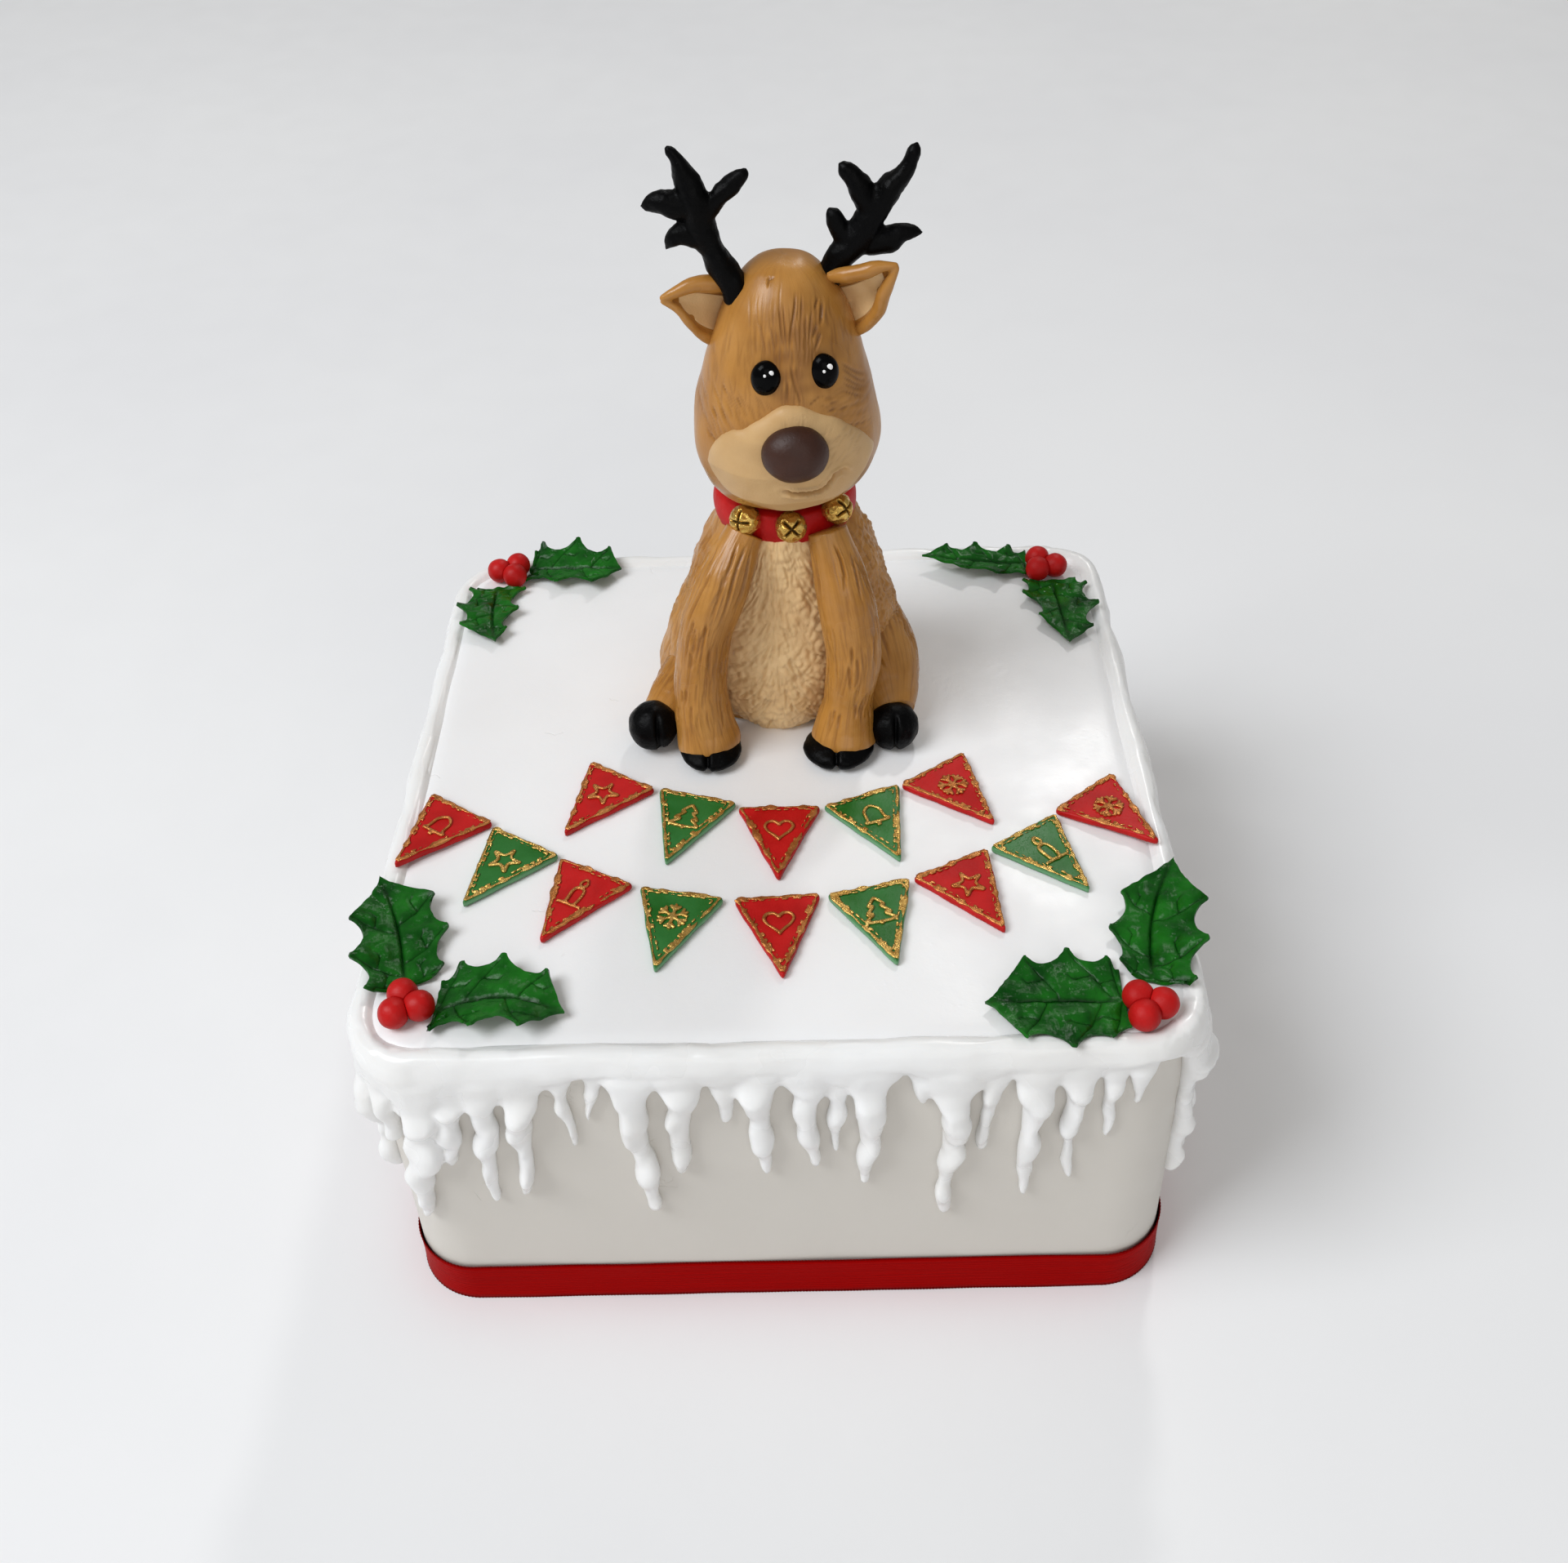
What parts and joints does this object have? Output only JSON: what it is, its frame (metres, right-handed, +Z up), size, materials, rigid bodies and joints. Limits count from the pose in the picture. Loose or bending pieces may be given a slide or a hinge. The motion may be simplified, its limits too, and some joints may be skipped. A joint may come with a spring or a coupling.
{
  "type": "christmas cake",
  "caption": "Square iced fruit cake with dripping icicle icing, a ribbon round its base, holly and berries at the corners, bunting, and a seated sugar-paste reindeer on top.",
  "frame": {"origin": "centre of the cake's flat base", "axes": "+Z up, the front with the bunting and the reindeer's face towards -Y, +X to the viewer's right"},
  "size_m": [0.2234, 0.2199, 0.2759],
  "materials": {
    "icing": "smooth white sugar paste with a soft sheen",
    "ribbon": "red satin ribbon with a stitched edge",
    "fur_paste": "caramel sugar paste carved with fine strokes",
    "cream_paste": "cream sugar paste carved with fine strokes",
    "black_paste": "black sugar paste, slightly matte",
    "eye_paste": "glazed black sugar paste with two small white dots",
    "nose_paste": "dark brown sugar paste with a soft sheen",
    "red_paste": "matte red sugar paste",
    "green_paste": "green sugar paste with gold painted relief",
    "holly_paste": "glazed deep green sugar paste with veins",
    "gold_paint": "sugar paste painted with gold lustre"
  },
  "bodies": {
    "root": {"antler_left": "black_paste", "antler_right": "black_paste", "bell_left": "gold_paint", "bell_middle": "gold_paint", "bell_right": "gold_paint", "belly": "cream_paste", "berry_back_left_1": "red_paste", "berry_back_left_2": "red_paste", "berry_back_left_3": "red_paste", "berry_back_right_1": "red_paste", "berry_back_right_2": "red_paste", "berry_back_right_3": "red_paste", "berry_front_left_1": "red_paste", "berry_front_left_2": "red_paste", "berry_front_left_3": "red_paste", "berry_front_right_1": "red_paste", "berry_front_right_2": "red_paste", "berry_front_right_3": "red_paste", "cake_body": "icing", "collar": "red_paste", "ear_left": "fur_paste", "ear_right": "fur_paste", "eye_left": "eye_paste", "eye_right": "eye_paste", "flag_lower_1": "red_paste", "flag_lower_2": "green_paste", "flag_lower_3": "red_paste", "flag_lower_4": "green_paste", "flag_lower_5": "red_paste", "flag_lower_6": "green_paste", "flag_lower_7": "red_paste", "flag_lower_8": "green_paste", "flag_lower_9": "red_paste", "flag_upper_1": "red_paste", "flag_upper_2": "green_paste", "flag_upper_3": "red_paste", "flag_upper_4": "green_paste", "flag_upper_5": "red_paste", "fore_hoof_left": "black_paste", "fore_hoof_right": "black_paste", "foreleg_left": "fur_paste", "foreleg_right": "fur_paste", "head": "fur_paste", "hind_hoof_left": "black_paste", "hind_hoof_right": "black_paste", "hind_leg_left": "fur_paste", "hind_leg_right": "fur_paste", "icicle_icing": "icing", "leaf_back_left": "holly_paste", "leaf_back_left_side": "holly_paste", "leaf_back_right": "holly_paste", "leaf_back_right_side": "holly_paste", "leaf_front_left": "holly_paste", "leaf_front_left_side": "holly_paste", "leaf_front_right": "holly_paste", "leaf_front_right_side": "holly_paste", "muzzle": "cream_paste", "nose": "nose_paste", "ribbon": "ribbon", "torso": "fur_paste"}
  },
  "joints": []
}
